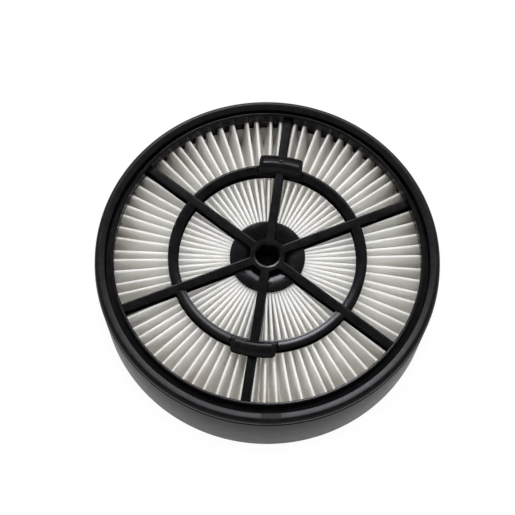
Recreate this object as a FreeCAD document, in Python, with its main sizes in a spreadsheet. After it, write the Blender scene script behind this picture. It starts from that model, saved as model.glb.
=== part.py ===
"""Round exhaust filter for a vacuum cleaner: a radial pleat pack in a black cartridge.

The filter stands on its casing with the grille side up. The origin is the middle of the base, +Z is
up, and the two finger tabs lie on the Y axis. All sizes are in millimetres.
"""
import FreeCAD, Part
import Sketcher
import math
import os
import re

# Driving sizes: alias, value, what it measures
SIZES = [
    ("casing_radius", 70.0, "outside of the side wall"),
    ("casing_height", 32.7, "base to the parting line under the seal"),
    ("casing_wall", 2.4, "side wall thickness"),
    ("seat_width", 0.8, "seat inside the casing that the frame's ledge rests on"),
    ("floor_width", 8.4, "outside of the casing to the inner edge of its floor flange"),
    ("floor_thickness", 2.0, "floor flange thickness"),
    ("foot_round", 0.8, "rounding of the casing's outer bottom edge"),
    ("seal_width", 4.5, "casing outside to the seal's inner edge"),
    ("seal_height", 3.7, "corner of the seal's shoulder above the casing, before it is rounded"),
    ("seal_fall", 1.2, "seal's inner edge below that corner"),
    ("seal_step", 0.25, "setback of the seal from the side wall"),
    ("seal_round", 1.6, "radius of the seal's shoulder"),
    ("seal_inner_round", 0.5, "rounding of the seal's inner edge"),
    ("fit_gap", 0.15, "clearance of the frame inside the casing"),
    ("lip_inset", 6.9, "casing outside to the outer face of the lip"),
    ("lip_wall", 1.2, "lip thickness"),
    ("lip_rise", 2.8, "lip edge above the spokes"),
    ("lip_draft", 0.4, "lean of the lip's inner face, outwards to its foot"),
    ("lip_round", 0.4, "rounding of the lip's edges"),
    ("ledge_thickness", 1.7, "ledge of the frame that carries the seal"),
    ("spoke_count", 6, "spokes around the hub"),
    ("spoke_rise", 2.0, "spoke tops above the casing"),
    ("spoke_depth", 4.6, "height of a spoke"),
    ("spoke_width", 3.7, "width of a spoke"),
    ("spoke_round", 0.6, "rounding of a spoke's upper edges"),
    ("ring_radius", 38.25, "crest of the grille ring"),
    ("ring_width", 4.2, "width of the grille ring"),
    ("ring_drop", 0.2, "ring's crest below the spoke tops"),
    ("ring_fall", 0.6, "ring's inner edge below its crest"),
    ("ring_crest_round", 1.5, "rounding of the ring's crest"),
    ("ring_edge", 0.7, "rounding of the ring's outer edge"),
    ("tab_root", 2.3, "tab's foot below the spoke tops"),
    ("tab_width", 18.0, "finger tab across its parallel sides"),
    ("tab_foot", 2.6, "tab's inner foot inside the ring's middle"),
    ("tab_back", 1.9, "tab's back wall outside the ring's middle"),
    ("tab_reach", 5.45, "tab's outer edge outside the ring's middle"),
    ("tab_crease_rise", 1.9, "tab's crease above the spokes"),
    ("tab_edge_rise", 2.5, "tab's outer edge above the spokes"),
    ("tab_plate", 1.3, "thickness of the tab's overhang"),
    ("tab_corner", 1.8, "rounding of the tab's outer corners"),
    ("tab_crease_round", 0.7, "rounding of the tab's crease"),
    ("core_radius", 13.1, "closed core inside the pleat ring"),
    ("dish_overhang", 2.2, "hub dish outside the core"),
    ("dish_drop", 3.0, "underside of the dish's edge below the spokes"),
    ("dish_edge", 1.0, "thickness of the dish's edge"),
    ("dish_waist", 3.7, "dish surface at the boss below the spokes"),
    ("dish_crown", 8.0, "radius of the dish's crowned section"),
    ("boss_apothem", 7.0, "hub middle to a flat of the six-sided boss"),
    ("bore_radius", 4.95, "hub socket"),
    ("bore_depth", 14.0, "hub socket depth"),
    ("bore_round", 0.7, "rounding of the socket's mouth"),
    ("socket_wall", 1.6, "wall and floor of the hub socket"),
    ("pleat_count", 78, "pleats around the ring"),
    ("paper", 0.38, "thickness of the filter paper"),
    ("fold_width", 1.2, "outside width of a fold at the outer end"),
    ("media_gap", 0.25, "clearance between the folds and the spokes, and at the core"),
    ("bed_thickness", 2.0, "adhesive under the outer pleat ends"),
    ("sleeve_wall", 0.45, "adhesive between the pleat ends and the casing"),
    ("sleeve_drop", 3.5, "top of the adhesive below the folds"),
    ("plug_overhang", 2.9, "plug flange outside the core"),
    ("plug_wall", 1.8, "wall of the centre plug"),
]
ALIASES = {alias for alias, number, meaning in SIZES}

doc = FreeCAD.newDocument("round_filter")
sheet = doc.addObject("Spreadsheet::Sheet", "sizes")
for row, (alias, number, meaning) in enumerate(SIZES, start=1):
    sheet.set(f"A{row}", meaning)
    sheet.set(f"B{row}", str(number))
    sheet.setAlias(f"B{row}", alias)
doc.recompute()

# Heights and radii that several pieces share, as expressions of the driving sizes
SPOKE_TOP = "(casing_height + spoke_rise)"
SPOKE_UNDER = "(casing_height + spoke_rise - spoke_depth)"
LIP_TOP = "(casing_height + spoke_rise + lip_rise)"
LIP_OUTER = "(casing_radius - lip_inset)"
LIP_INNER = "(casing_radius - lip_inset - lip_wall)"
LEDGE_UNDER = "(casing_height - ledge_thickness)"
WALL_INNER = "(casing_radius - casing_wall)"
SEAT_INNER = "(casing_radius - casing_wall - seat_width)"
SLEEVE_INNER = "(casing_radius - casing_wall - seat_width - sleeve_wall)"
FLOOR_INNER = "(casing_radius - floor_width)"
MEDIA_BOTTOM = "(floor_thickness + bed_thickness)"
MEDIA_TOP = "(casing_height + spoke_rise - spoke_depth - media_gap)"


def bound(words):
    """The expression with each size read from the sheet."""
    return re.sub(r"[a-z_]+", lambda m: f"sizes.{m.group()}" if m.group() in ALIASES else m.group(), words)


def number_of(words):
    """The present value of an expression."""
    return float(sheet.evalExpression(bound(words)))


def new_body(label):
    """An empty body whose label names the piece."""
    body = doc.addObject("PartDesign::Body", label)
    body.Label = label
    return body


def origin_feature(body, role):
    """One of the body's own planes or axes."""
    return next(feature for feature in body.Origin.OriginFeatures if feature.Role == role)


def new_sketch(body, name, role, offset="0"):
    """A sketch on a plane of the body, moved along the plane's normal."""
    sketch = body.newObject("Sketcher::SketchObject", name)
    sketch.AttachmentSupport = [(origin_feature(body, role), "")]
    sketch.MapMode = "FlatFace"
    sketch.setExpression("AttachmentOffset.Base.z", bound(offset))
    doc.recompute()
    return sketch


def pin(sketch, edge, vertex, place):
    """Tie one end of an edge to a pair of expressions."""
    for kind, words in zip(("DistanceX", "DistanceY"), place):
        index = sketch.addConstraint(Sketcher.Constraint(kind, -1, 1, edge, vertex, number_of(words)))
        sketch.setExpression(f"Constraints[{index}]", bound(words))


def left_turn_arc(start, end, radius):
    """The short arc from start to end that turns to the left."""
    chord = end - start
    to_left = FreeCAD.Vector(-chord.y, chord.x, 0).normalize()
    centre = (start + end) * 0.5 + to_left * math.sqrt(radius ** 2 - (chord.Length / 2) ** 2)
    angles = [math.atan2(point.y - centre.y, point.x - centre.x) for point in (start, end)]
    return Part.ArcOfCircle(Part.Circle(centre, FreeCAD.Vector(0, 0, 1), radius), *angles)


def outline(sketch, corners):
    """A closed outline, taken anticlockwise.

    A corner is a pair of expressions. A third expression makes the edge that leaves it an arc of that
    radius, which bulges outwards.
    """
    points = [FreeCAD.Vector(number_of(corner[0]), number_of(corner[1]), 0) for corner in corners]
    for index, corner in enumerate(corners):
        start = points[index]
        end = points[(index + 1) % len(points)]
        if len(corner) == 3:
            sketch.addGeometry(left_turn_arc(start, end, number_of(corner[2])))
        else:
            sketch.addGeometry(Part.LineSegment(start, end))
    for index, corner in enumerate(corners):
        sketch.addConstraint(Sketcher.Constraint("Coincident", (index - 1) % len(corners), 2, index, 1))
        pin(sketch, index, 1, corner[:2])
        if len(corner) == 3:
            arc = sketch.addConstraint(Sketcher.Constraint("Radius", index, number_of(corner[2])))
            sketch.setExpression(f"Constraints[{arc}]", bound(corner[2]))
    doc.recompute()


def revolve(body, name, corners):
    """Turn a section of radius and height pairs once around Z."""
    sketch = new_sketch(body, name + "_section", "XZ_Plane")
    outline(sketch, corners)
    turned = body.newObject("PartDesign::Revolution", name)
    turned.Profile = sketch
    turned.ReferenceAxis = (sketch, ["V_Axis"])
    turned.Angle = 360
    doc.recompute()
    return turned


def pad(body, name, sketch, length, backwards=False):
    """Raise a sketch along its normal, or against it."""
    raised = body.newObject("PartDesign::Pad", name)
    raised.Profile = sketch
    raised.Reversed = backwards
    raised.setExpression("Length", bound(length))
    doc.recompute()
    return raised


def pocket(body, name, sketch, depth, upwards=False):
    """Cut a sketch into the body, below its plane unless it is told to go up."""
    before = body.Shape.Volume
    cut = body.newObject("PartDesign::Pocket", name)
    cut.Profile = sketch
    cut.Reversed = upwards
    cut.setExpression("Length", bound(depth))
    doc.recompute()
    if not cut.Shape.Volume < before:
        raise RuntimeError(f"{name} removed nothing")
    return cut


def polar_pattern(body, name, feature, count):
    """Repeat a feature evenly around Z."""
    pattern = body.newObject("PartDesign::PolarPattern", name)
    pattern.Originals = [feature]
    pattern.Axis = (origin_feature(body, "Z_Axis"), [""])
    pattern.Angle = 360
    pattern.setExpression("Occurrences", bound(count))
    body.Tip = pattern
    doc.recompute()
    return pattern


def round_edges(body, name, base, radius, wanted):
    """Round every edge of the base that the test picks."""
    edges = [f"Edge{index}" for index, edge in enumerate(base.Shape.Edges, start=1) if wanted(edge)]
    rounded = body.newObject("PartDesign::Fillet", name)
    rounded.Base = (base, edges)
    rounded.setExpression("Radius", bound(radius))
    doc.recompute()
    return rounded


def circle_at(radius, height):
    """A test for circular edges around Z at a radius and height."""
    def wanted(edge):
        if not isinstance(edge.Curve, Part.Circle):
            return False
        same_radius = math.isclose(edge.Curve.Radius, number_of(radius), abs_tol=1e-4)
        same_height = math.isclose(edge.Curve.Center.z, number_of(height), abs_tol=1e-4)
        return same_radius and same_height
    return wanted


def outer_casing():
    """Cup ring: side wall with a seat for the frame inside its top, and a floor flange."""
    body = new_body("outer_casing")
    turned = revolve(body, "casing_ring", [
        (FLOOR_INNER, "0"),
        ("casing_radius", "0"),
        ("casing_radius", "casing_height"),
        (WALL_INNER, "casing_height"),
        (WALL_INNER, LEDGE_UNDER),
        (SEAT_INNER, LEDGE_UNDER),
        (SEAT_INNER, "floor_thickness"),
        (FLOOR_INNER, "floor_thickness"),
    ])
    round_edges(body, "casing_foot", turned, "foot_round", circle_at("casing_radius", "0"))
    return body


def rim_seal():
    """Soft ring on the casing's top edge: a rounded shoulder outside, and a top that slopes inwards."""
    body = new_body("rim_seal")
    seal_inner = "casing_radius - seal_width"
    seal_outer = "casing_radius - seal_step"
    shoulder_top = "casing_height + seal_height"
    inner_top = f"{shoulder_top} - seal_fall"
    turned = revolve(body, "seal_ring", [
        (seal_inner, "casing_height"),
        (seal_outer, "casing_height"),
        (seal_outer, shoulder_top),
        (seal_inner, inner_top),
    ])
    shoulder = round_edges(body, "seal_shoulder", turned, "seal_round", circle_at(seal_outer, shoulder_top))
    round_edges(body, "seal_edge", shoulder, "seal_inner_round", circle_at(seal_inner, inner_top))
    return body


def add_tabs(body):
    """Two finger tabs: a turned hook section, trimmed to parallel sides across the Y axis."""
    foot = "ring_radius - tab_foot"
    back = "ring_radius + tab_back"
    tab_end = "ring_radius + tab_reach"
    foot_height = f"{SPOKE_TOP} - tab_root"
    edge_top = f"{SPOKE_TOP} + tab_edge_rise"
    edge_under = f"{SPOKE_TOP} + tab_edge_rise - tab_plate"
    crease = f"{SPOKE_TOP} + tab_crease_rise"
    revolve(body, "tab_hook", [
        (foot, foot_height),
        (back, foot_height),
        (back, f"{crease} - tab_plate"),
        (tab_end, edge_under),
        (tab_end, edge_top),
        ("ring_radius", crease),
    ])
    clear = "2 * casing_radius"
    half = "tab_width / 2"
    right = new_sketch(body, "right_of_tabs", "XY_Plane")
    outline(right, [(half, f"-{clear}"), (clear, f"-{clear}"), (clear, clear), (half, clear)])
    pocket(body, "right_trim", right, LIP_TOP, upwards=True)
    left = new_sketch(body, "left_of_tabs", "XY_Plane")
    outline(left, [(f"-{clear}", f"-{clear}"), (f"-{half}", f"-{clear}"), (f"-{half}", clear),
                   (f"-{clear}", clear)])
    trimmed = pocket(body, "left_trim", left, LIP_TOP, upwards=True)

    def outer_corner(edge):
        spread = math.hypot(edge.BoundBox.XLength, edge.BoundBox.YLength)
        from_axis = math.hypot(edge.CenterOfMass.x, edge.CenterOfMass.y)
        upright = math.isclose(spread, 0, abs_tol=1e-4)
        return upright and math.isclose(from_axis, number_of(tab_end), abs_tol=1e-4)

    rounded = round_edges(body, "tab_corners", trimmed, "tab_corner", outer_corner)
    return round_edges(body, "tab_creases", rounded, "tab_crease_round", circle_at("ring_radius", crease))


def add_lip(body):
    """Upright lip over the pleat ends, on a ledge that sits in the casing and carries the seal."""
    ledge = f"{WALL_INNER} - fit_gap"
    turned = revolve(body, "lip_ring", [
        (f"{LIP_INNER} + lip_draft", LEDGE_UNDER),
        (ledge, LEDGE_UNDER),
        (ledge, "casing_height"),
        (LIP_OUTER, "casing_height"),
        (LIP_OUTER, LIP_TOP),
        (LIP_INNER, LIP_TOP),
    ])
    outer = circle_at(LIP_OUTER, LIP_TOP)
    inner = circle_at(LIP_INNER, LIP_TOP)
    return round_edges(body, "lip_edge", turned, "lip_round", lambda edge: outer(edge) or inner(edge))


def add_hub(body):
    """Crowned dish over the inner pleat ends, its core, the six-sided boss and the socket's tube."""
    dish = "core_radius + dish_overhang"
    dish_under = f"{SPOKE_TOP} - dish_drop"
    socket_outer = "bore_radius + socket_wall"
    socket_end = f"{SPOKE_TOP} - bore_depth - socket_wall"
    waist = f"{SPOKE_TOP} - dish_waist"
    revolve(body, "hub_dish", [
        ("0", socket_end),
        (socket_outer, socket_end),
        (socket_outer, SPOKE_UNDER),
        ("core_radius", SPOKE_UNDER),
        ("core_radius", dish_under),
        (dish, dish_under),
        (dish, f"{dish_under} + dish_edge", "dish_crown"),
        ("boss_apothem", waist),
        ("0", waist),
    ])
    hexagon = new_sketch(body, "boss_outline", "XY_Plane", dish_under)
    corner_radius = "boss_apothem / cos(30 deg)"
    outline(hexagon, [(f"{corner_radius} * cos({angle} deg)", f"{corner_radius} * sin({angle} deg)")
                      for angle in range(30, 390, 60)])
    pad(body, "boss", hexagon, "dish_drop")


def add_ring(body):
    """Ring between hub and lip: its top is level outside a rounded crest and slopes to the hub inside it."""
    inner = "ring_radius - ring_width / 2"
    outer = "ring_radius + ring_width / 2"
    crest = f"{SPOKE_TOP} - ring_drop"
    turned = revolve(body, "grille_ring", [
        (inner, SPOKE_UNDER),
        (outer, SPOKE_UNDER),
        (outer, f"{crest} - ring_edge", "ring_edge"),
        (f"{outer} - ring_edge", crest),
        ("ring_radius", crest),
        (inner, f"{crest} - ring_fall"),
    ])
    round_edges(body, "ring_crest", turned, "ring_crest_round", circle_at("ring_radius", crest))


def add_spokes(body):
    """Flat-topped bars from the hub into the lip wall, the first along Y."""
    sketch = new_sketch(body, "spoke_section", "XZ_Plane")
    half = "spoke_width / 2"
    shoulder = f"{SPOKE_TOP} - spoke_round"
    outline(sketch, [
        (f"-{half}", SPOKE_UNDER),
        (half, SPOKE_UNDER),
        (half, shoulder, "spoke_round"),
        (f"{half} - spoke_round", SPOKE_TOP),
        (f"spoke_round - {half}", SPOKE_TOP, "spoke_round"),
        (f"-{half}", shoulder),
    ])
    bar = pad(body, "spoke", sketch, f"{LIP_INNER} + lip_wall / 2", backwards=True)
    return polar_pattern(body, "spokes", bar, "spoke_count")


def grille_frame():
    """One moulding: lip, spokes, ring, hub and finger tabs."""
    body = new_body("grille_frame")
    add_tabs(body)
    add_lip(body)
    add_hub(body)
    add_ring(body)
    add_spokes(body)
    mouth = new_sketch(body, "socket_mouth", "XY_Plane", SPOKE_TOP)
    mouth.addGeometry(Part.Circle(FreeCAD.Vector(0, 0, 0), FreeCAD.Vector(0, 0, 1), number_of("bore_radius")))
    mouth.addConstraint(Sketcher.Constraint("Coincident", 0, 3, -1, 1))
    size = mouth.addConstraint(Sketcher.Constraint("Radius", 0, number_of("bore_radius")))
    mouth.setExpression(f"Constraints[{size}]", bound("bore_radius"))
    socket = pocket(body, "socket", mouth, "bore_depth")
    round_edges(body, "socket_edge", socket, "bore_round", circle_at("bore_radius", SPOKE_TOP))
    return body


def pleat_section(body, name, distance, half_fold):
    """One fold of the paper across the radial direction, from valley middle to valley middle."""
    sketch = new_sketch(body, name, "YZ_Plane", distance)
    half_pitch = f"({distance}) * tan(180 deg / pleat_count)"
    floor = MEDIA_BOTTOM
    crest = MEDIA_TOP
    foot = f"{half_pitch} - ({half_fold})"
    inner_fold = f"({half_fold}) - paper"
    outline(sketch, [
        (f"-{half_pitch}", floor),
        (f"-({foot})", floor),
        (f"-({inner_fold})", f"{crest} - paper"),
        (inner_fold, f"{crest} - paper"),
        (foot, floor),
        (half_pitch, floor),
        (half_pitch, f"{floor} + paper"),
        (f"{foot} + paper", f"{floor} + paper"),
        (half_fold, crest),
        (f"-({half_fold})", crest),
        (f"-({foot} + paper)", f"{floor} + paper"),
        (f"-{half_pitch}", f"{floor} + paper"),
    ])
    return sketch


def pleated_media():
    """One folded sheet: upright, tightly packed pleats at the core that fan out to the casing."""
    body = new_body("pleated_media")
    inner_end = "core_radius + media_gap"
    outer_end = f"{SLEEVE_INNER} * cos(180 deg / pleat_count)"
    upright_fold = f"(({inner_end}) * tan(180 deg / pleat_count) + paper) / 2"
    inner = pleat_section(body, "fold_at_core", inner_end, upright_fold)
    outer = pleat_section(body, "fold_at_wall", outer_end, "fold_width / 2")
    pleat = body.newObject("PartDesign::AdditiveLoft", "pleat")
    pleat.Profile = inner
    pleat.Sections = [outer]
    pleat.Ruled = True
    doc.recompute()
    polar_pattern(body, "pleats", pleat, "pleat_count")
    return body


def centre_plug():
    """Flanged cup that closes the middle of the pleat ring and meets the hub's core."""
    body = new_body("centre_plug")
    flange = "core_radius + plug_overhang"
    cavity = "core_radius - plug_wall"
    revolve(body, "plug_cup", [
        ("0", "floor_thickness"),
        (flange, "floor_thickness"),
        (flange, MEDIA_BOTTOM),
        ("core_radius", MEDIA_BOTTOM),
        ("core_radius", SPOKE_UNDER),
        (cavity, SPOKE_UNDER),
        (cavity, MEDIA_BOTTOM),
        ("0", MEDIA_BOTTOM),
    ])
    return body


def potting_ring():
    """Adhesive bed under the outer pleat ends, with a thin sleeve up the casing's wall."""
    body = new_body("potting_ring")
    sleeve_top = f"{MEDIA_TOP} - sleeve_drop"
    revolve(body, "potting", [
        (FLOOR_INNER, "floor_thickness"),
        (SEAT_INNER, "floor_thickness"),
        (SEAT_INNER, sleeve_top),
        (SLEEVE_INNER, sleeve_top),
        (SLEEVE_INNER, MEDIA_BOTTOM),
        (FLOOR_INNER, MEDIA_BOTTOM),
    ])
    return body


pieces = [outer_casing(), rim_seal(), grille_frame(), pleated_media(), centre_plug(), potting_ring()]
doc.recompute()

for item in doc.Objects:
    if "Invalid" in item.State or "Error" in item.State:
        raise RuntimeError(f"{item.Name} failed: {item.State}")
for piece in pieces:
    if piece.Shape.isNull() or not piece.Shape.isValid():
        raise RuntimeError(f"{piece.Label} has no valid shape")

os.makedirs("parts", exist_ok=True)
for piece in pieces:
    piece.Shape.exportStep(f"parts/{piece.Label}.step")
    print(f"{piece.Label}: {len(piece.Shape.Solids)} solid, {piece.Shape.Volume:.0f} mm3")
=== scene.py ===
# %% [markdown]
# # A round pleated filter, from solids to a picture
# The object is a cartridge that cleans the air a vacuum cleaner blows out. A black moulded casing
# holds a ring of folded white paper, a spoked grille guards the paper, and a soft seal closes the rim.
# The solids already stand in their places in one shared frame. This lesson keeps those places and
# gives each piece the form and the finish that a camera would see.

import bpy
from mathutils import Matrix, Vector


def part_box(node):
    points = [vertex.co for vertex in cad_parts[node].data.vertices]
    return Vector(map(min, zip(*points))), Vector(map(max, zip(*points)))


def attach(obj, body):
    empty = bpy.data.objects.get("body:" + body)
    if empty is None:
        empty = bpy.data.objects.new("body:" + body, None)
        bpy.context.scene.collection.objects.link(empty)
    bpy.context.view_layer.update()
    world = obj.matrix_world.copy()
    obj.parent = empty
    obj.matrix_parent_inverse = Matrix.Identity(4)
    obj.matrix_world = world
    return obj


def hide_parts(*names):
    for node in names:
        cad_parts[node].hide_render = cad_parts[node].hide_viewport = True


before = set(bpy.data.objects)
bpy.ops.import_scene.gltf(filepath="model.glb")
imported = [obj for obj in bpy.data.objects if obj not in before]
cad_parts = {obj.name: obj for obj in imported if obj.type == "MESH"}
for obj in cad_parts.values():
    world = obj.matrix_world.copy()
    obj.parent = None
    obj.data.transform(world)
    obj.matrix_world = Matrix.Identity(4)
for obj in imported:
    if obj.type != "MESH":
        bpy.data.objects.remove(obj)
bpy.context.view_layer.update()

# %% [markdown]
# ## Sizes that the pieces share
# Every size that a solid's box gives is read from that solid, so the pieces stay in step with it.
# Lengths are in metres; MM turns millimetres into metres.

# %% Shared sizes
import math
import random

import bmesh
import bpy
from mathutils import Matrix, Vector, noise

MM = 0.001
CASING_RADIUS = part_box("outer_casing")[1].x
SEAM_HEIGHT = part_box("outer_casing")[1].z
SPOKE_TOP = SEAM_HEIGHT + 2.0 * MM
LIP_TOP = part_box("grille_frame")[1].z
SEAL_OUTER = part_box("rim_seal")[1].x
PAPER_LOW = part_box("pleated_media")[0].z
PAPER_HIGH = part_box("pleated_media")[1].z
PAPER_DEPTH = PAPER_HIGH - PAPER_LOW
PAPER_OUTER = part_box("pleated_media")[1].x
print(f"casing {2 * CASING_RADIUS / MM:.1f} mm across, seam at {SEAM_HEIGHT / MM:.1f} mm")
print(f"paper from {PAPER_LOW / MM:.2f} to {PAPER_HIGH / MM:.2f} mm, out to {PAPER_OUTER / MM:.2f} mm")

# %% [markdown]
# ## The camera
# The photograph looks down on the filter from about 69 degrees above the table, with the filter turned
# a little on its axis. The lens and the place of the camera come from fitting the ellipses of the
# casing, the seam and the hub. The middle of the hub's top is the point that all of it is measured from.
# White folds hand the light on to each other many times, so it may bounce more often than usual here.

# %% Camera of the photograph
PHOTO_PIXELS = 515
FOCAL_PIXELS = 1187
HUB_PIXEL = (267.5, 254.5)
PIXELS_PER_MM = 2.4743
PITCH = math.radians(68.6)
ROLL = math.radians(1.3)
TURN = math.radians(7.0)
SENSOR = 36.0
NEAREST = 10 * MM
BOUNCES = 32
hub_top = Vector((0, 0, SPOKE_TOP))


def photo_camera():
    """The camera that sees the hub where the photograph shows it."""
    forward = Vector((0, math.cos(PITCH), -math.sin(PITCH)))
    level_right = Vector((1, 0, 0))
    level_down = forward.cross(level_right)
    right = math.cos(ROLL) * level_right - math.sin(ROLL) * level_down
    down = math.sin(ROLL) * level_right + math.cos(ROLL) * level_down
    middle = PHOTO_PIXELS / 2
    to_hub = (HUB_PIXEL[0] - middle) * right + (HUB_PIXEL[1] - middle) * down + FOCAL_PIXELS * forward
    to_hub *= MM / PIXELS_PER_MM
    axes = Matrix((right, -down, -forward)).transposed().to_4x4()
    data = bpy.data.cameras.new("photo_camera")
    data.sensor_width = SENSOR
    data.lens = SENSOR * FOCAL_PIXELS / PHOTO_PIXELS
    data.clip_start = NEAREST
    camera = bpy.data.objects.new("photo_camera", data)
    bpy.context.scene.collection.objects.link(camera)
    turned = Matrix.Translation(hub_top) @ Matrix.Rotation(TURN, 4, "Z")
    camera.matrix_world = turned @ Matrix.Translation(-to_hub) @ axes
    return camera


bpy.context.scene.camera = photo_camera()
bpy.context.scene.view_settings.view_transform = "Standard"
bpy.context.scene.cycles.max_bounces = BOUNCES
bpy.context.scene.cycles.diffuse_bounces = BOUNCES
bpy.context.scene.cycles.transmission_bounces = BOUNCES
camera_gap = (bpy.context.scene.camera.matrix_world.translation - hub_top).length
print(f"camera {camera_gap / MM:.0f} mm from the hub, lens {bpy.context.scene.camera.data.lens:.1f} mm")

# %% [markdown]
# ## Putting a mesh into the scene
# Each finished piece is a mesh at the origin with its place in its vertices. It rides on the one body
# of this object and takes the place of the solid it dresses.

# %% Helper that finishes a piece
WELD = 0.002 * MM


def finish_piece(bm, name, slot, *nodes):
    """Makes the object from a mesh that is ready, and says which solid it dresses."""
    mesh = bpy.data.meshes.new(name)
    bm.to_mesh(mesh)
    bm.free()
    piece = bpy.data.objects.new(name, mesh)
    bpy.context.scene.collection.objects.link(piece)
    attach(piece, "root")
    if nodes:
        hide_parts(*nodes)
    print(f"{name}: {len(mesh.vertices)} vertices, {len(mesh.polygons)} faces")
    return piece


print(f"points closer than {WELD / MM} mm are welded")

# %% [markdown]
# ## The folded paper
# On the real filter one long strip of glass-fibre paper is scored, folded into pleats, and closed into
# a ring. Near the hub the folds stand tightly together; at the wall they spread. No machine spaces them
# perfectly, so the folds wander a little, more so the further they are from the hub.
# Here the strip is a flat grid. Each column of the grid is one place across the folds, and each row is
# one distance from the axis. Moving the vertices folds the sheet, and a thickness makes it paper.
# Chance offsets place the folds, and smooth noise lets each one drift along its length. The three numbers
# of a noise are its stride from fold to fold, its waves per metre and a layer of its own.

# %% Where each fold lies
PLEATS = 78
PAPER_INNER = 13.4 * MM
FOLD_SEED = 88
RIDGE_WANDER = 0.16
VALLEY_WANDER = 0.10
SWAY = 0.07
SWAY_NOISE = (5.3, 55, 0.5)
LOOSENING = 0.8
even_gap = 2 * math.pi / PLEATS


def chance_offsets(most):
    """One offset for each pleat, up to a share of the gap between two folds."""
    return [random.uniform(-most, most) * even_gap for _ in range(PLEATS)]


random.seed(FOLD_SEED)
ridge_wander = chance_offsets(RIDGE_WANDER)
valley_wander = chance_offsets(VALLEY_WANDER)


def drift(fold, radius, stride, waves, layer):
    """Smooth noise along one fold."""
    return noise.noise(Vector((fold * stride, radius * waves, layer)))


def wall_share(radius):
    """How far out a point is: 0 at the hub and 1 at the wall."""
    return (radius - PAPER_INNER) / (PAPER_OUTER - PAPER_INNER)


def ridge_angle(pleat, radius):
    """Angle of a ridge, which wanders more towards the wall."""
    index = pleat % PLEATS
    sway = SWAY * even_gap * drift(index, radius, *SWAY_NOISE)
    return pleat * even_gap + (ridge_wander[index] + sway) * wall_share(radius) ** LOOSENING


def valley_angle(pleat, radius):
    """Angle of the valley that follows a ridge."""
    middle = (ridge_angle(pleat, radius) + ridge_angle(pleat + 1, radius)) / 2
    return middle + valley_wander[pleat % PLEATS] * wall_share(radius)


wall_angles = [math.degrees(ridge_angle(pleat, PAPER_OUTER)) for pleat in range(PLEATS + 1)]
wall_gaps = [after - before for before, after in zip(wall_angles, wall_angles[1:])]
print(f"{PLEATS} pleats, {min(wall_gaps):.1f} to {max(wall_gaps):.1f} degrees apart at the wall")

# %% [markdown]
# Half a fold runs from the bottom of a valley up to the top of a ridge: a quarter turn in the valley,
# a leg, and a quarter turn over the ridge. The other half is its mirror image. The sheet can't bend
# tighter than the room between two folds, so both turns shrink near the hub.

# %% Shape of half a fold
FOLD_RADIUS = 0.3 * MM
VALLEY_STEPS = 2
LEG_STOPS = (0.0, 0.03, 0.5, 0.97, 1.0)
LEG_STEPS = len(LEG_STOPS) - 1
RIDGE_STEPS = 3
HALF_STEPS = VALLEY_STEPS + LEG_STEPS + RIDGE_STEPS


def half_fold(step, span, low, high):
    """Distance from the ridge line and height of one column, from the valley (0) to the ridge."""
    turn = min(FOLD_RADIUS, span / 2)
    if step <= VALLEY_STEPS:
        angle = math.pi / 2 * step / VALLEY_STEPS
        return span - turn * math.sin(angle), low + turn * (1 - math.cos(angle))
    if step >= VALLEY_STEPS + LEG_STEPS:
        angle = math.pi / 2 * (HALF_STEPS - step) / RIDGE_STEPS
        return turn * math.sin(angle), high - turn * (1 - math.cos(angle))
    share = LEG_STOPS[step - VALLEY_STEPS]
    return (span - turn) + share * (2 * turn - span), (low + turn) + share * (high - low - 2 * turn)


print(f"half a fold: {HALF_STEPS} steps, about {even_gap * PAPER_OUTER / 2 / MM:.2f} mm wide at the wall")

# %% [markdown]
# Now the grid is folded. Ridge tops are not quite level, because the paper springs after folding: each
# ridge dips by up to a quarter of a millimetre along its length, and never stands higher than the solid
# does. The legs bow a little to one side as well. The strip's own length and width, in millimetres, are
# kept as a UV map, so that the finish can follow the folds.

# %% Fold the sheet
PAPER_THICKNESS = 0.38 * MM
ROWS = 20
ROW_CROWDING = 1.1
COLUMNS = 2 * HALF_STEPS * PLEATS
DIP = 0.25 * MM
DIP_NOISE = (3.1, 45, 7.0)
BOW = 0.12 * MM
BOW_NOISE = (2.7, 30, 3.0)
half_paper = PAPER_THICKNESS / 2


def folded_point(column, share):
    """Radius, angle and height of a point, from its column and how far out its row is."""
    radius = PAPER_INNER + share * (PAPER_OUTER - half_paper - PAPER_INNER)
    half, step = divmod(column, HALF_STEPS)
    pleat, falling = divmod(half, 2)
    ridge = ridge_angle(pleat, radius)
    valley = valley_angle(pleat if falling else pleat - 1, radius)
    rise = HALF_STEPS - step if falling else step
    dip = DIP * (0.5 + 0.5 * drift(pleat % PLEATS, radius, *DIP_NOISE))
    span = abs(valley - ridge) * radius
    across, height = half_fold(rise, span, PAPER_LOW + half_paper, PAPER_HIGH - half_paper - dip)
    lift = (height - PAPER_LOW) / PAPER_DEPTH
    lean = BOW * drift(half % (2 * PLEATS), radius, *BOW_NOISE)
    across += lean * math.sin(math.pi * lift) * share
    return radius, ridge + (across if falling else -across) / radius, height


def fold_sheet():
    """The whole ring of pleats as one sheet without thickness."""
    bm = bmesh.new()
    bmesh.ops.create_grid(bm, x_segments=COLUMNS, y_segments=ROWS, size=1)
    strip = bm.loops.layers.uv.new("strip")
    place = {}
    for vert in bm.verts:
        column = round((vert.co.x + 1) / 2 * COLUMNS)
        share = ((vert.co.y + 1) / 2) ** ROW_CROWDING
        radius, angle, height = folded_point(column, share)
        vert.co = (radius * math.cos(angle), radius * math.sin(angle), height)
        place[vert] = (column / COLUMNS * PLEATS * 2 * PAPER_DEPTH / MM, radius / MM)
    for face in bm.faces:
        face.smooth = True
        for loop in face.loops:
            loop[strip].uv = place[loop.vert]
    bmesh.ops.remove_doubles(bm, verts=bm.verts, dist=WELD)
    bmesh.ops.recalc_face_normals(bm, faces=bm.faces)
    return bm


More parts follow.
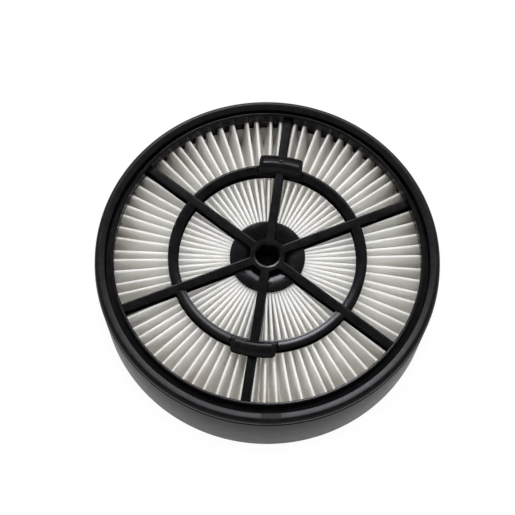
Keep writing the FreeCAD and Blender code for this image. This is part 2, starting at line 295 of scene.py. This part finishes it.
pleated_sheet = finish_piece(fold_sheet(), "pleated_sheet", "media", "pleated_media")
thickness = pleated_sheet.modifiers.new("paper", "SOLIDIFY")
thickness.thickness = PAPER_THICKNESS
thickness.offset = 0

# %% [markdown]
# ## The grille moulding
# The lip, the spokes, the middle ring, the hub and the finger tabs are one injection moulding. Its form
# is already exact in the solid, so a copy is welded, and the angle between two faces tells a corner from
# a round face. The solid's own rounded edges catch the thin light lines along the spokes.

# %% Welded copies of solids
CORNER_ANGLE = math.radians(32)


def welded_copy(node):
    """A merged copy of a solid's mesh."""
    bm = bmesh.new()
    bm.from_mesh(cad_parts[node].data)
    bmesh.ops.remove_doubles(bm, verts=bm.verts, dist=WELD)
    bmesh.ops.recalc_face_normals(bm, faces=bm.faces)
    return bm


def shade_between_corners(bm):
    """Smooth shading that stops at the edges that are seen as corners."""
    for face in bm.faces:
        face.smooth = True
    for edge in bm.edges:
        if edge.is_manifold and edge.calc_face_angle() > CORNER_ANGLE:
            edge.smooth = False


grille_mesh = welded_copy("grille_frame")
print("grille triangles after welding:", len(grille_mesh.faces))

# %% [markdown]
# Three places on the moulding are known only by the light that they catch. The mouth of the hub's socket
# is a shallow countersink, so its near side shows a bright crescent. The top of the lip leans inwards by
# a few degrees, so its near side is a thin pale line. The tops of the tabs are level, so they stay black.
# Moving the vertices of those places by a few tenths of a millimetre is enough.

# %% Countersink, lip top and tab tops
MOUTH_OUTER = 5.65 * MM
MOUTH_DEPTH = 0.75 * MM
MOUTH_SLOPE = math.tan(math.radians(12))
LIP_INNER = 61.5 * MM
LIP_OUTER = 63.1 * MM
LIP_ROUND = 0.45 * MM
LIP_SLOPE = math.tan(math.radians(14))
RING_RADIUS = 38.25 * MM
TAB_END = 43.8 * MM
TAB_RISE = 0.3 * MM
TAB_SLOPE = 0.6 / 5.45  # the solid's tab climbs 0.6 mm over its 5.45 mm


def lean_edges(bm):
    """Countersinks the socket's mouth, leans the top of the lip inwards and levels the tabs."""
    moved = 0
    for vert in bm.verts:
        radius = vert.co.xy.length
        if radius < MOUTH_OUTER and vert.co.z > SPOKE_TOP - MOUTH_DEPTH:
            vert.co.z = SPOKE_TOP - (MOUTH_OUTER - radius) * MOUTH_SLOPE
            moved += 1
        if radius > LIP_INNER and vert.co.z > LIP_TOP - LIP_ROUND:
            vert.co.z -= (LIP_OUTER - radius) * LIP_SLOPE
            moved += 1
        if RING_RADIUS < radius < TAB_END and vert.co.z > SPOKE_TOP + TAB_RISE:
            vert.co.z -= (radius - RING_RADIUS) * TAB_SLOPE
            moved += 1
    return moved


def on_mouth(vert):
    """Whether a vertex lies on the outer edge of the countersink."""
    return abs(vert.co.xy.length - MOUTH_OUTER) < WELD and SPOKE_TOP - vert.co.z < WELD


print("vertices moved on the grille:", lean_edges(grille_mesh))
shade_between_corners(grille_mesh)
for edge in grille_mesh.edges:
    if on_mouth(edge.verts[0]) and on_mouth(edge.verts[1]):
        edge.smooth = False

# %% [markdown]
# The sides of the ribs mirror none of the white paper beside them, and the wall of the lip mirrors little
# of it. Those faces get the numbers of two other blacks, which are mixed further down.

# %% Rib sides and lip wall
RIB_SIDE, LIP_WALL = 1, 2
RIB_ROUND = 0.5 * MM
STEEP = 0.5


def number_steep_faces(bm):
    """Gives the steep faces of the ribs, the tabs and the lip their own materials."""
    for face in bm.faces:
        middle = face.calc_center_median()
        if abs(face.normal.z) > STEEP or middle.xy.length < MOUTH_OUTER:
            continue
        if middle.xy.length > LIP_INNER:
            face.material_index = LIP_WALL
        elif middle.z < SPOKE_TOP - RIB_ROUND or middle.z > SPOKE_TOP + TAB_RISE:
            face.material_index = RIB_SIDE


number_steep_faces(grille_mesh)
grille = finish_piece(grille_mesh, "grille", "frame", "grille_frame")

# %% [markdown]
# ## Spinning a section
# Most other pieces are round, so each of them is a section of a few points, spun once round the axis.
# An arc is the same through part of a turn, with its two ends closed. Corners of a section are rounded
# before the spin, which costs less than a bevel on the finished ring.

# %% Spin a section
SPIN_STEPS = 256
QUAD = 4


def spun_section(points, steps=SPIN_STEPS):
    """A closed section of (radius, height) points, spun round the axis."""
    bm = bmesh.new()
    verts = [bm.verts.new((radius, 0, height)) for radius, height in points]
    edges = [bm.edges.new((verts[i - 1], verts[i])) for i in range(len(verts))]
    bmesh.ops.spin(bm, geom=verts + edges, axis=(0, 0, 1), cent=(0, 0, 0),
                   angle=2 * math.pi, steps=steps, use_merge=True)
    bmesh.ops.remove_doubles(bm, verts=bm.verts, dist=WELD)
    bmesh.ops.recalc_face_normals(bm, faces=bm.faces)
    for face in bm.faces:
        face.smooth = True
    return bm


def spun_arc(bm, points, start, sweep, steps):
    """A closed section spun through part of a turn, with a flat face at both ends."""
    verts = [bm.verts.new((radius * math.cos(start), radius * math.sin(start), height))
             for radius, height in points]
    edges = [bm.edges.new((verts[i - 1], verts[i])) for i in range(len(verts))]
    turned = bmesh.ops.spin(bm, geom=verts + edges, axis=(0, 0, 1), cent=(0, 0, 0),
                            angle=sweep, steps=steps)
    bm.faces.new(verts)
    bm.faces.new([part for part in turned["geom_last"] if isinstance(part, bmesh.types.BMVert)])
    bmesh.ops.recalc_face_normals(bm, faces=bm.faces)
    for face in bm.faces:
        face.smooth = len(face.verts) == QUAD


def rounded(before, corner, after, radius, steps):
    """Points of an arc that rounds one corner of a section."""
    corner = Vector(corner)
    to_before = (Vector(before) - corner).normalized()
    to_after = (Vector(after) - corner).normalized()
    half = to_before.angle(to_after) / 2
    reach = radius / math.tan(half)
    centre = corner + (to_before + to_after).normalized() * radius / math.sin(half)
    start = corner + to_before * reach - centre
    end = corner + to_after * reach - centre
    points = []
    for i in range(steps + 1):
        points.append(tuple(centre + start.slerp(end, i / steps).normalized() * radius))
    return points


print("a full spin has", SPIN_STEPS, "steps")

# %% [markdown]
# ## The band round the folds
# The ends of the folds are closed by a band of the same paper, glued round the pack before it went into
# the casing. It shows between the folds on the far side, where the black wall would show without it. It
# is the simplest section to spin: a thin upright strip.

# %% Band round the folds
BAND_HIGH = 0.58
BAND_INSET = 0.5 * MM


def edge_band():
    """A thin upright band just inside the outer ends of the folds."""
    outside = PAPER_OUTER - BAND_INSET
    inside = outside - PAPER_THICKNESS
    low = PAPER_LOW + BAND_INSET
    high = PAPER_LOW + BAND_HIGH * PAPER_DEPTH
    return spun_section([(inside, low), (outside, low), (outside, high), (inside, high)])


band = finish_piece(edge_band(), "edge_band", "media")

# %% [markdown]
# ## The seal
# The seal is a soft ring with a round shoulder. It is cut from an extruded length, so its section is the
# same all the way round, and its two ends are joined where a short duller stretch shows on the near side.
# The spin gives the ring; the joint is left to the finish.

# %% Seal ring
SEAL_INNER = 65.5 * MM
SEAL_CORNER = SEAM_HEIGHT + 3.7 * MM
SEAL_FALL = 1.2 * MM
# Each rounding is a radius and a number of steps.
FOOT_ROUNDING = (0.35 * MM, 3)
SHOULDER_ROUNDING = (1.6 * MM, 8)
INNER_ROUNDING = (0.5 * MM, 4)


def seal_ring():
    """The seal: an inward slope, a round shoulder and a foot on the casing."""
    foot_out = (SEAL_OUTER, SEAM_HEIGHT)
    foot_in = (SEAL_INNER, SEAM_HEIGHT)
    shoulder = (SEAL_OUTER, SEAL_CORNER)
    inner_edge = (SEAL_INNER, SEAL_CORNER - SEAL_FALL)
    points = rounded(foot_in, foot_out, shoulder, *FOOT_ROUNDING)
    points += rounded(foot_out, shoulder, inner_edge, *SHOULDER_ROUNDING)
    points += rounded(shoulder, inner_edge, foot_in, *INNER_ROUNDING)
    points += [foot_in]
    return spun_section(points)


seal = finish_piece(seal_ring(), "seal", "seal", "rim_seal")

# %% [markdown]
# ## The hub's dish
# Between the spokes the hub shows a shallow dish: it rises from the boss to a soft crest and falls to its
# edge. Its highlights show how gently it curves, so a thin spun skin with two long bends lies on the
# moulding there, with a low pillow in each sector. The spokes and the boss stand through it.

# %% Dish skin
SPOKES = 6
DISH_EDGE = 15.25 * MM
DISH_INSIDE = 6.2 * MM
EDGE_FOOT = 2.3 * MM
INSIDE_FOOT = 3.95 * MM
CREST = 14.6 * MM
CREST_DROP = 1.47 * MM
INNER_BEND = 20 * MM
OUTER_BEND = 12 * MM
PILLOW = 0.22 * MM
DISH_STEPS = 24
DISH_SPIN = 96


def dish_height(radius):
    """Height of the dish: one bend inside its crest and a tighter one outside."""
    bend = INNER_BEND if radius < CREST else OUTER_BEND
    return SPOKE_TOP - CREST_DROP - (radius - CREST) ** 2 / (2 * bend)


def dish_skin():
    """The skin, closed underneath inside the moulding."""
    points = [(DISH_EDGE, SPOKE_TOP - EDGE_FOOT)]
    for i in range(DISH_STEPS + 1):
        radius = DISH_EDGE + (DISH_INSIDE - DISH_EDGE) * i / DISH_STEPS
        points.append((radius, dish_height(radius)))
    points.append((DISH_INSIDE, SPOKE_TOP - INSIDE_FOOT))
    bm = spun_section(points, DISH_SPIN)
    for vert in bm.verts:
        radius, around = vert.co.xy.length, math.atan2(vert.co.y, vert.co.x)
        if abs(vert.co.z - dish_height(radius)) < WELD:
            across = math.pi * (radius - DISH_INSIDE) / (DISH_EDGE - DISH_INSIDE)
            vert.co.z += PILLOW * math.sin(across) * (1 + math.cos(SPOKES * around)) / 2
    return bm


dish = finish_piece(dish_skin(), "hub_dish", "frame")

# %% [markdown]
# ## The ring's crown
# The middle ring is half round on its inner side: the light on it swells and fades across its width
# instead of ending at an edge. A thin spun crown with one bend lies on the slope of the moulding and
# gives that. It is two arcs, which stop short of the tabs.

# %% Ring crown
RING_CREST = SPOKE_TOP - 0.02 * MM
CROWN_OUTSIDE = 39.95 * MM
CROWN_LEVEL = 39.6 * MM
CROWN_INSIDE = 36.25 * MM
CROWN_BEND = 7.0 * MM
OUTSIDE_DROPS = (0.6 * MM, 0.22 * MM)
INSIDE_DROP = 1.2 * MM
CROWN_STEPS = 14
CROWN_SPIN = 110
TAB_MIDDLES = (-math.pi / 2, math.pi / 2)
TAB_HALF = math.radians(13.4)


def bend_inwards(level, inside, top, bend, steps):
    """Points of a bend that starts level at its top and falls towards the inside."""
    points = []
    for i in range(steps + 1):
        inward = (level - inside) * i / steps
        points.append((level - inward, top - inward ** 2 / (2 * bend)))
    return points


def ring_crown():
    """Two arcs between the tabs: a bend that starts level, and a foot inside the moulding."""
    points = [(CROWN_OUTSIDE, RING_CREST - drop) for drop in OUTSIDE_DROPS]
    points += bend_inwards(CROWN_LEVEL, CROWN_INSIDE, RING_CREST, CROWN_BEND, CROWN_STEPS)
    points.append((CROWN_INSIDE, RING_CREST - INSIDE_DROP))
    bm = bmesh.new()
    for middle in TAB_MIDDLES:
        spun_arc(bm, points, middle + TAB_HALF, math.pi - 2 * TAB_HALF, CROWN_SPIN)
    return bm


crown = finish_piece(ring_crown(), "ring_crown", "frame")

# %% [markdown]
# ## Creases of the tabs
# Each tab has a soft raised crease along its inner edge, and the small round mark where the plastic was
# let into the mould. The crease is a low spun arc and the mark is a flattened ball, both sunk into the tab.

# %% Tab creases and gate marks
TAB_TOP = SPOKE_TOP + 1.9 * MM
CREASE_HALF = math.radians(11.0)
CREASE_END = 43.0 * MM
CREASE_TOP = 40.0 * MM
CREASE_INSIDE = 38.3 * MM
CREASE_BEND = 5.6 * MM
CREASE_RISE = 0.25 * MM
END_RISE = 0.1 * MM
CREASE_FOOT = 0.3 * MM
CREASE_STEPS = 10
CREASE_SPIN = 24
GATE_RADIUS = 0.85 * MM
GATE_PLACES = (-39.6 * MM, 41.2 * MM)
GATE_RISE = 0.8 * CREASE_RISE
GATE_FLATNESS = 0.24
GATE_ROUND, GATE_UP = 20, 10


def tab_creases():
    """A crease on each tab, and a gate mark near its middle."""
    bm = bmesh.new()
    points = [(CREASE_END, TAB_TOP - CREASE_FOOT), (CREASE_END, TAB_TOP + END_RISE)]
    points += bend_inwards(CREASE_TOP, CREASE_INSIDE, TAB_TOP + CREASE_RISE, CREASE_BEND, CREASE_STEPS)
    points.append((CREASE_INSIDE, TAB_TOP - CREASE_FOOT))
    for middle in TAB_MIDDLES:
        spun_arc(bm, points, middle - CREASE_HALF, 2 * CREASE_HALF, CREASE_SPIN)
    for y in GATE_PLACES:
        place = Matrix.Translation((0, y, TAB_TOP + GATE_RISE)) @ Matrix.Diagonal((1, 1, GATE_FLATNESS, 1))
        made = bmesh.ops.create_uvsphere(bm, u_segments=GATE_ROUND, v_segments=GATE_UP,
                                         radius=GATE_RADIUS, matrix=place)
        for vert in made["verts"]:
            for face in vert.link_faces:
                face.smooth = True
    return bm


creases = finish_piece(tab_creases(), "tab_creases", "frame")

# %% [markdown]
# ## The casing
# The casing is a deep cup ring moulded in one piece: the smooth outer wall with its rounded foot, a flat
# floor flange, and a small seat inside the top that the grille rests on. All of it is round, so one
# section is enough, and the spin makes the ring.

# %% Casing ring
SEAT_HEIGHT = SEAM_HEIGHT - 1.7 * MM
WALL_INNER = CASING_RADIUS - 2.4 * MM
SEAT_INNER = WALL_INNER - 0.8 * MM
FLOOR_INNER = CASING_RADIUS - 8.4 * MM
FLOOR_TOP = 2.0 * MM
FOOT_ROUND = 0.8 * MM
EDGE_ROUND = 0.3 * MM
ROUND_STEPS = 4


def casing_ring():
    """Outer wall, seat and floor flange as one section."""
    corners = [
        ((FLOOR_INNER, 0), EDGE_ROUND),
        ((CASING_RADIUS, 0), FOOT_ROUND),
        ((CASING_RADIUS, SEAM_HEIGHT), EDGE_ROUND),
        ((WALL_INNER, SEAM_HEIGHT), EDGE_ROUND),
        ((WALL_INNER, SEAT_HEIGHT), EDGE_ROUND),
        ((SEAT_INNER, SEAT_HEIGHT), EDGE_ROUND),
        ((SEAT_INNER, FLOOR_TOP), EDGE_ROUND),
        ((FLOOR_INNER, FLOOR_TOP), EDGE_ROUND),
    ]
    points = []
    for i, (corner, radius) in enumerate(corners):
        before, after = corners[i - 1][0], corners[(i + 1) % len(corners)][0]
        points += rounded(before, corner, after, radius, ROUND_STEPS)
    return spun_section(points)


casing = finish_piece(casing_ring(), "casing", "casing", "outer_casing")

# %% [markdown]
# ## Glue and plug
# The adhesive bed and the flanged plug are plain turned shapes that are mostly hidden. Welded copies of
# their solids are enough.

# %% Glue bed and centre plug
def copied_piece(node, name, slot):
    """A piece that keeps the whole form of its solid."""
    bm = welded_copy(node)
    shade_between_corners(bm)
    return finish_piece(bm, name, slot, node)


glue = copied_piece("potting_ring", "glue_bed", "potting")
plug = copied_piece("centre_plug", "plug", "plug")

# %% [markdown]
# ## Materials
# Nothing on the object is one flat colour. Each finish is a small network of noise that varies the colour,
# the roughness and the fine relief, laid out in the object's own metres. A few helpers make the nodes that
# come back in every finish. A value that they are given is a number, a colour or another node's output.

# %% Helpers for node materials
def new_material(name):
    """A material with its node tree and its main shader."""
    material = bpy.data.materials.new(name)
    material.use_nodes = True
    tree = material.node_tree
    return material, tree, tree.nodes["Principled BSDF"]


def feed(tree, socket, value):
    """Links a socket to another node's output, or sets it to a number or a colour."""
    if isinstance(value, bpy.types.NodeSocket):
        tree.links.new(value, socket)
    else:
        socket.default_value = value


def maths(tree, operation, *values):
    """The result of one sum."""
    node = tree.nodes.new("ShaderNodeMath")
    node.operation = operation
    for socket, value in zip(node.inputs, values):
        feed(tree, socket, value)
    return node.outputs["Value"]


def remap(tree, value, low, high, start=0.0, end=1.0, course="LINEAR"):
    """What lies between start and end, spread from low to high."""
    node = tree.nodes.new("ShaderNodeMapRange")
    node.interpolation_type = course
    node.inputs["From Min"].default_value = start
    node.inputs["From Max"].default_value = end
    node.inputs["To Min"].default_value = low
    node.inputs["To Max"].default_value = high
    tree.links.new(value, node.inputs["Value"])
    return node.outputs["Result"]


def axes_of(tree, kind):
    """The x, y and z of a place."""
    coords = tree.nodes.new("ShaderNodeTexCoord")
    axes = tree.nodes.new("ShaderNodeSeparateXYZ")
    tree.links.new(coords.outputs[kind], axes.inputs["Vector"])
    return axes.outputs


print("helpers for numbers ready")

# %% [markdown]
# The other helpers are for colour, for relief, and for a surface that is two shaders at once.

# %% Helpers for colour and relief
def object_noise(tree, waves, detail):
    """Noise over the object's own coordinates, in waves per metre."""
    coords = tree.nodes.new("ShaderNodeTexCoord")
    texture = tree.nodes.new("ShaderNodeTexNoise")
    texture.inputs["Scale"].default_value = waves
    texture.inputs["Detail"].default_value = detail
    tree.links.new(coords.outputs["Object"], texture.inputs["Vector"])
    return texture.outputs["Fac"]


def colour_ramp(tree, factor, stops, colours):
    """Colours between two stops of a factor."""
    ramp = tree.nodes.new("ShaderNodeValToRGB")
    for element, stop, colour in zip(ramp.color_ramp.elements, stops, colours):
        element.position = stop
        element.color = (*colour, 1)
    tree.links.new(factor, ramp.inputs["Fac"])
    return ramp.outputs["Color"]


def colour_mix(tree, factor, first, second):
    """A colour between two others."""
    mix = tree.nodes.new("ShaderNodeMix")
    mix.data_type = "RGBA"
    tree.links.new(factor, mix.inputs["Factor"])
    feed(tree, mix.inputs["A"], first)
    feed(tree, mix.inputs["B"], second)
    return mix.outputs["Result"]


def relief(tree, shader, height, depth):
    """Fine relief of a given depth in metres."""
    bump = tree.nodes.new("ShaderNodeBump")
    bump.inputs["Distance"].default_value = depth
    bump.inputs["Strength"].default_value = 1.0
    tree.links.new(height, bump.inputs["Height"])
    tree.links.new(bump.outputs["Normal"], shader.inputs["Normal"])


def mixed_surface(tree, factor, first, second):
    """Ends a material in a mix of two shaders."""
    mix = tree.nodes.new("ShaderNodeMixShader")
    feed(tree, mix.inputs["Fac"], factor)
    tree.links.new(first, mix.inputs[1])
    tree.links.new(second, mix.inputs[2])
    tree.links.new(mix.outputs["Shader"], tree.nodes["Material Output"].inputs["Surface"])


print("helpers for colour and relief ready")

# %% [markdown]
# The mouldings are black plastic from polished tools. The grille is glossier than the casing; its rib
# sides are matt, and its lip wall and its dish have blacks of their own. The seal is softer, and the glue
# and the plug are a little paler. One function makes them all: wide clouds vary the colour and the
# roughness, which stands for handling and dust, and a fine grain on long waves is the skin of the tool.

# %% Black plastics and glue
COOL_SHEEN = (0.92, 0.92, 1.0, 1)
CLOUD_STOPS = (0.3, 0.7)
CLOUD_DETAIL = 4.0
GRAINS_PER_CLOUD = 5
GRAIN_DETAIL = 2.0
WAVES = 7.0
TOOL_SKIN = {"grain": 1400, "depth": 4e-6}


def black_finish(name, shades, rough, gloss, grain, depth):
    """A black: range of shades, range of roughness, gloss, grain in waves per metre and its depth."""
    material, tree, shader = new_material(name)
    shader.inputs["Specular IOR Level"].default_value = gloss
    shader.inputs["Specular Tint"].default_value = COOL_SHEEN
    clouds = object_noise(tree, grain / GRAINS_PER_CLOUD, CLOUD_DETAIL)
    fine = object_noise(tree, grain, GRAIN_DETAIL)
    colour = colour_ramp(tree, clouds, CLOUD_STOPS, [(shade,) * 3 for shade in shades])
    tree.links.new(colour, shader.inputs["Base Color"])
    tree.links.new(remap(tree, clouds, *rough), shader.inputs["Roughness"])
    relief(tree, shader, maths(tree, "MULTIPLY_ADD", clouds, WAVES, fine), depth)
    return material


def dress(piece, *materials):
    """Gives a piece its materials, in the order of the numbers on its faces."""
    for material in materials:
        piece.data.materials.append(material)


moulded = black_finish("moulded_black", shades=(0.0006, 0.0035), rough=(0.17, 0.28), gloss=0.12, **TOOL_SKIN)
rib_side = black_finish("matt_black", shades=(0.0006, 0.003), rough=(0.6, 0.8), gloss=0.0, **TOOL_SKIN)
lip_wall = black_finish("lip_black", shades=(0.0006, 0.003), rough=(0.2, 0.3), gloss=0.04, **TOOL_SKIN)
dress(grille, moulded, rib_side, lip_wall)
dress(crown, moulded)
dress(creases, moulded)
dress(dish, black_finish(
    "dish_black", shades=(0.0004, 0.0025), rough=(0.2, 0.3), gloss=0.12, **TOOL_SKIN))
dress(casing, black_finish(
    "satin_black", shades=(0.001, 0.004), rough=(0.28, 0.40), gloss=0.05, grain=1600, depth=2e-6))
dress(glue, black_finish(
    "cast_black", shades=(0.003, 0.006), rough=(0.25, 0.45), gloss=0.2, grain=500, depth=9e-6))
dress(plug, black_finish(
    "plug_black", shades=(0.004, 0.008), rough=(0.40, 0.55), gloss=0.2, grain=1500, depth=5e-6))
print("black finishes:", [material.name for material in bpy.data.materials])

# %% [markdown]
# The seal has one mark of its own: the short stretch where the two ends of the ring are joined is duller.
# The angle round the axis finds that stretch, and it is added to the roughness.

# %% Seal with its joint
JOINT_ANGLE = math.radians(-80.8)
JOINT_HALF = math.radians(3.4)
JOINT_DULL = 0.16


def seal_finish():
    """The seal's soft black, duller over the joint."""
    material = black_finish(
        "soft_black", shades=(0.001, 0.004), rough=(0.28, 0.42), gloss=0.12, grain=1800, depth=5e-6)
    tree = material.node_tree
    roughness = tree.nodes["Principled BSDF"].inputs["Roughness"]
    axes = axes_of(tree, "Object")
    around = maths(tree, "ARCTAN2", axes["Y"], axes["X"])
    joint = maths(tree, "COMPARE", around, JOINT_ANGLE, JOINT_HALF)
    duller = maths(tree, "MULTIPLY_ADD", joint, JOINT_DULL, roughness.links[0].from_socket)
    tree.links.new(duller, roughness)
    return material


dress(seal, seal_finish())
joint_length = 2 * JOINT_HALF * SEAL_OUTER
print(f"seal joint at {math.degrees(JOINT_ANGLE):.1f} degrees, {joint_length / MM:.1f} mm long")

# %% [markdown]
# Brown painted shade darkens the paper in two places: along the bottoms of the valleys, and in patches
# near the outer ends of the folds, under the lip, where it follows the net's dimples. Each place gets an
# amount of painted shade from its distance out, its height and a wide noise.

# %% Painted shade on the paper
OUTER_SHADE_FROM, OUTER_SHADE_TO = 46 * MM, 62 * MM
OUTER_SHADE_MOST = 0.5
PATCH_WAVES = 90
PATCH_DETAIL = 2.0
PATCH_STOPS = (0.4, 0.65)
VALLEY_SHADE_DEPTH = 1.5 * MM
VALLEY_FROM, VALLEY_TO = 20 * MM, 45 * MM
VALLEY_MOST = 0.6


def distance_out(tree):
    """Distance of a place from the axis."""
    coords = tree.nodes.new("ShaderNodeTexCoord")
    flat = tree.nodes.new("ShaderNodeVectorMath")
    flat.operation = "MULTIPLY"
    flat.inputs[1].default_value = (1, 1, 0)
    tree.links.new(coords.outputs["Object"], flat.inputs[0])
    length = tree.nodes.new("ShaderNodeVectorMath")
    length.operation = "LENGTH"
    tree.links.new(flat.outputs["Vector"], length.inputs[0])
    return length.outputs["Value"]


def painted_shade_amount(tree, dimples):
    """How much painted shade lies on a place of the paper."""
    radius = distance_out(tree)
    far_out = remap(tree, radius, 0.0, 1.0, OUTER_SHADE_FROM, OUTER_SHADE_TO, "SMOOTHSTEP")
    patches = colour_ramp(tree, object_noise(tree, PATCH_WAVES, PATCH_DETAIL),
                          PATCH_STOPS, ((0,) * 3, (OUTER_SHADE_MOST,) * 3))
    # Painted shade in patches near the outer ends of the folds, under the lip, set into the net's dimples.
    outer_shade = maths(tree, "MULTIPLY", maths(tree, "MULTIPLY", far_out, patches), dimples)
    # Painted shade along the valley bottoms: strongest at the lowest point, gone 1.5 mm higher up.
    deep = remap(tree, axes_of(tree, "Object")["Z"], 0.0, 1.0, PAPER_LOW + VALLEY_SHADE_DEPTH, PAPER_LOW)
    spread = remap(tree, radius, 0.0, VALLEY_MOST, VALLEY_FROM, VALLEY_TO)
    return maths(tree, "MULTIPLY_ADD", deep, spread, outer_shade)


# The print gives where the painted shade near the outer ends starts, and how deep the painted valley shade
# reaches.
print(f"dust on the folds from {OUTER_SHADE_FROM / MM:.0f} mm out, and {VALLEY_SHADE_DEPTH / MM} mm deep in the valleys")

# %% [markdown]
# The paper itself is white with a hint of warmth, a felt of fibres, and the faint crossed dimples of the
# backing net that it is pressed against. The net is laid out on the unfolded strip, so it follows every
# fold. Thin paper also passes light on to its other side, which is why the valleys stay pale.

# %% Paper
PAPER_WHITES = ((0.989, 0.986, 0.977), (0.998, 0.997, 0.992))
# The brown of the painted shade in the valleys and near the outer ends of the folds.
PAINTED_SHADE_BROWN = (0.62, 0.56, 0.48, 1)
PAPER_GLOSS = 0.2
PAPER_ROUGH = (0.8, 1.0)
PASSED_LIGHT = 0.46
PULP_WAVES = 140
FIBRE_WAVES = 3500
FIBRE_DETAIL = 3.0
FIBRE_SHARE = 0.5
NET_PITCH = 0.65
NET_UNEVEN = 0.25
NET_DEPTH = 4e-5


def net_dimples(tree):
    """The print of the net, in millimetres along and across the strip."""
    strip = tree.nodes.new("ShaderNodeUVMap")
    strip.uv_map = "strip"
    net = tree.nodes.new("ShaderNodeTexVoronoi")
    net.inputs["Scale"].default_value = 1 / NET_PITCH
    net.inputs["Randomness"].default_value = NET_UNEVEN
    tree.links.new(strip.outputs["UV"], net.inputs["Vector"])
    return net.outputs["Distance"]


def paper_finish():
    """White fibre paper with the print of its backing net, which lets some light through."""
    material, tree, shader = new_material("fibre_paper")
    pulp = object_noise(tree, PULP_WAVES, CLOUD_DETAIL)
    fibres = object_noise(tree, FIBRE_WAVES, FIBRE_DETAIL)
    dimples = net_dimples(tree)
    unshaded_paper = colour_ramp(tree, pulp, CLOUD_STOPS, PAPER_WHITES)
    # Brown painted shade is mixed into the paper's white here.
    white = colour_mix(tree, painted_shade_amount(tree, dimples), unshaded_paper, PAINTED_SHADE_BROWN)
    shader.inputs["Specular IOR Level"].default_value = PAPER_GLOSS
    tree.links.new(white, shader.inputs["Base Color"])
    tree.links.new(remap(tree, fibres, *PAPER_ROUGH), shader.inputs["Roughness"])
    felt = maths(tree, "ADD", dimples, remap(tree, fibres, 0.0, FIBRE_SHARE))
    relief(tree, shader, felt, NET_DEPTH)
    through = tree.nodes.new("ShaderNodeBsdfTranslucent")
    tree.links.new(white, through.inputs["Color"])
    mixed_surface(tree, PASSED_LIGHT, shader.outputs["BSDF"], through.outputs["BSDF"])
    return material


paper = paper_finish()
dress(pleated_sheet, paper)
dress(band, paper)
print("paper net every", NET_PITCH, "mm")

# %% [markdown]
# ## Table and light
# The photograph is a catalogue picture on white. A pale table shines white to the camera and in
# reflections, and a small part of it stays matt, so that it still takes the shadow of the filter. It lies
# a hair below the casing, so that the two never share one plane.

# %% White table
TABLE_HALF = 1.5
TABLE_GAP = 0.02 * MM
TABLE_COLOUR = (0.85, 0.85, 0.85, 1)
TABLE_GLOW = 0.95


def table_finish():
    """Mostly white light for the camera and for reflections, and a matt rest for the shadow."""
    material, tree, shader = new_material("white_table")
    tree.nodes.remove(shader)
    matt = tree.nodes.new("ShaderNodeBsdfDiffuse")
    matt.inputs["Color"].default_value = TABLE_COLOUR
    glow = tree.nodes.new("ShaderNodeEmission")
    path = tree.nodes.new("ShaderNodeLightPath")
    seen = path.outputs["Is Camera Ray"]
    for kind in ("Is Glossy Ray", "Is Transmission Ray"):
        seen = maths(tree, "MAXIMUM", seen, path.outputs[kind])
    share = maths(tree, "MULTIPLY", seen, TABLE_GLOW)
    mixed_surface(tree, share, matt.outputs["BSDF"], glow.outputs["Emission"])
    return material


def white_table():
    """One large flat face under the filter."""
    bm = bmesh.new()
    bmesh.ops.create_grid(bm, x_segments=1, y_segments=1, size=TABLE_HALF,
                          matrix=Matrix.Translation((0, 0, -TABLE_GAP)))
    mesh = bpy.data.meshes.new("table")
    bm.to_mesh(mesh)
    bm.free()
    mesh.materials.append(table_finish())
    table = bpy.data.objects.new("table", mesh)
    bpy.context.scene.collection.objects.link(table)
    return table


table = white_table()
print("table", 2 * TABLE_HALF, "m across")

# %% [markdown]
# The room gives an even light from all round. The black parts show what they reflect, so in reflections
# the same room has pale walls low down and a dim ceiling. To the camera it is white.

# %% Surroundings
ROOM_LIGHT = 0.8
WALL_SHEEN = 1.25
CEILING_SHEEN = 0.45
SHEEN_STOPS = (0.35, 0.75)
ROOM_COLOUR = (ROOM_LIGHT, ROOM_LIGHT, ROOM_LIGHT, 1)
WHITE = (1, 1, 1, 1)


def surroundings():
    """Even light from all round; in reflections the walls are pale and the ceiling is dim."""
    world = bpy.data.worlds.new("studio")
    world.use_nodes = True
    bpy.context.scene.world = world
    tree = world.node_tree
    height = axes_of(tree, "Generated")["Z"]
    sheen = colour_ramp(tree, height, SHEEN_STOPS, ((WALL_SHEEN,) * 3, (CEILING_SHEEN,) * 3))
    path = tree.nodes.new("ShaderNodeLightPath")
    lit = colour_mix(tree, path.outputs["Is Glossy Ray"], ROOM_COLOUR, sheen)
    shown = colour_mix(tree, path.outputs["Is Camera Ray"], lit, WHITE)
    tree.links.new(shown, tree.nodes["Background"].inputs["Color"])


surroundings()
print("room light", ROOM_LIGHT, "walls in reflections", WALL_SHEEN, "ceiling", CEILING_SHEEN)

# %% [markdown]
# A lamp straight above reaches down into the folds: the fold tops are white and their legs an even pale
# grey. Two soft lamps behind the filter make the long lights on the black parts. Those two show only in
# reflections and the top lamp only on matt surfaces, so each can be set alone.

# %% Lamps
BACK_BOX = (0.32, 0.26)
TOP_BOX = (0.14, 0.14)


def soft_lamp(name, place, size, watts, mirrored):
    """A soft lamp that looks at the hub; it shows either in reflections or on matt surfaces."""
    data = bpy.data.lights.new(name, "AREA")
    data.shape = "RECTANGLE"
    data.size, data.size_y = size
    data.energy = watts
    lamp = bpy.data.objects.new(name, data)
    lamp.visible_diffuse = not mirrored
    lamp.visible_transmission = not mirrored
    lamp.visible_glossy = mirrored
    bpy.context.scene.collection.objects.link(lamp)
    place = Matrix.Rotation(TURN, 3, "Z") @ Vector(place)
    aim = (hub_top - place).to_track_quat("-Z", "Y")
    lamp.matrix_world = Matrix.Translation(place) @ aim.to_matrix().to_4x4()


soft_lamp("left_softbox", place=(-0.17, 0.74, 0.765), size=BACK_BOX, watts=12.0, mirrored=True)
soft_lamp("right_softbox", place=(0.27, 0.71, 0.765), size=BACK_BOX, watts=5.5, mirrored=True)
soft_lamp("top_softbox", place=(0, 0, 1.0), size=TOP_BOX, watts=5.8, mirrored=False)
print("lamps:", [light.name for light in bpy.data.lights])
